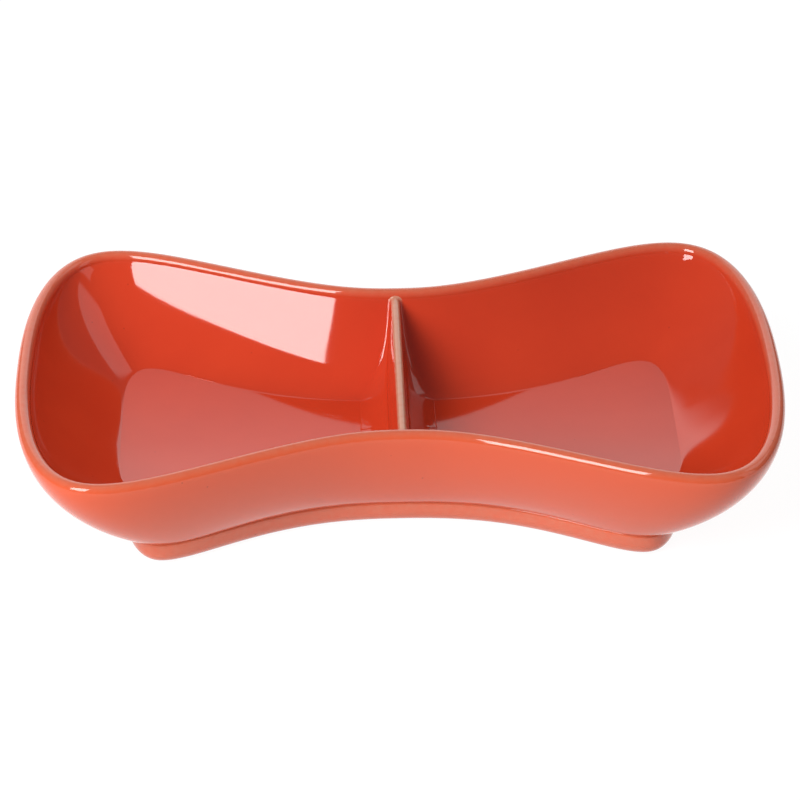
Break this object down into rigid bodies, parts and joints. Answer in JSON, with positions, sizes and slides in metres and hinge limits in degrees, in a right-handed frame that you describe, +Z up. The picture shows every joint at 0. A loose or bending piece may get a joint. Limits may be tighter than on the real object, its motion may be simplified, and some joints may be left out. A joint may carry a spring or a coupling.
{
  "type": "divided serving bowl",
  "caption": "Shallow bow-tie serving bowl in glazed stoneware, with a low wall across its waist that parts it into two basins, a rolled lip and a foot ring.",
  "frame": {"origin": "centre of the foot ring's ground face, on the table", "axes": "+X along the bowl from basin to basin, +Y across it, +Z up out of the basins"},
  "size_m": [0.28, 0.1658, 0.0455],
  "materials": {
    "shell_glaze": "gloss",
    "divider_glaze": "gloss",
    "foot_glaze": "gloss"
  },
  "bodies": {
    "root": {"bowl_shell": "shell_glaze", "divider_wall": "divider_glaze", "foot_ring": "foot_glaze"}
  },
  "joints": []
}
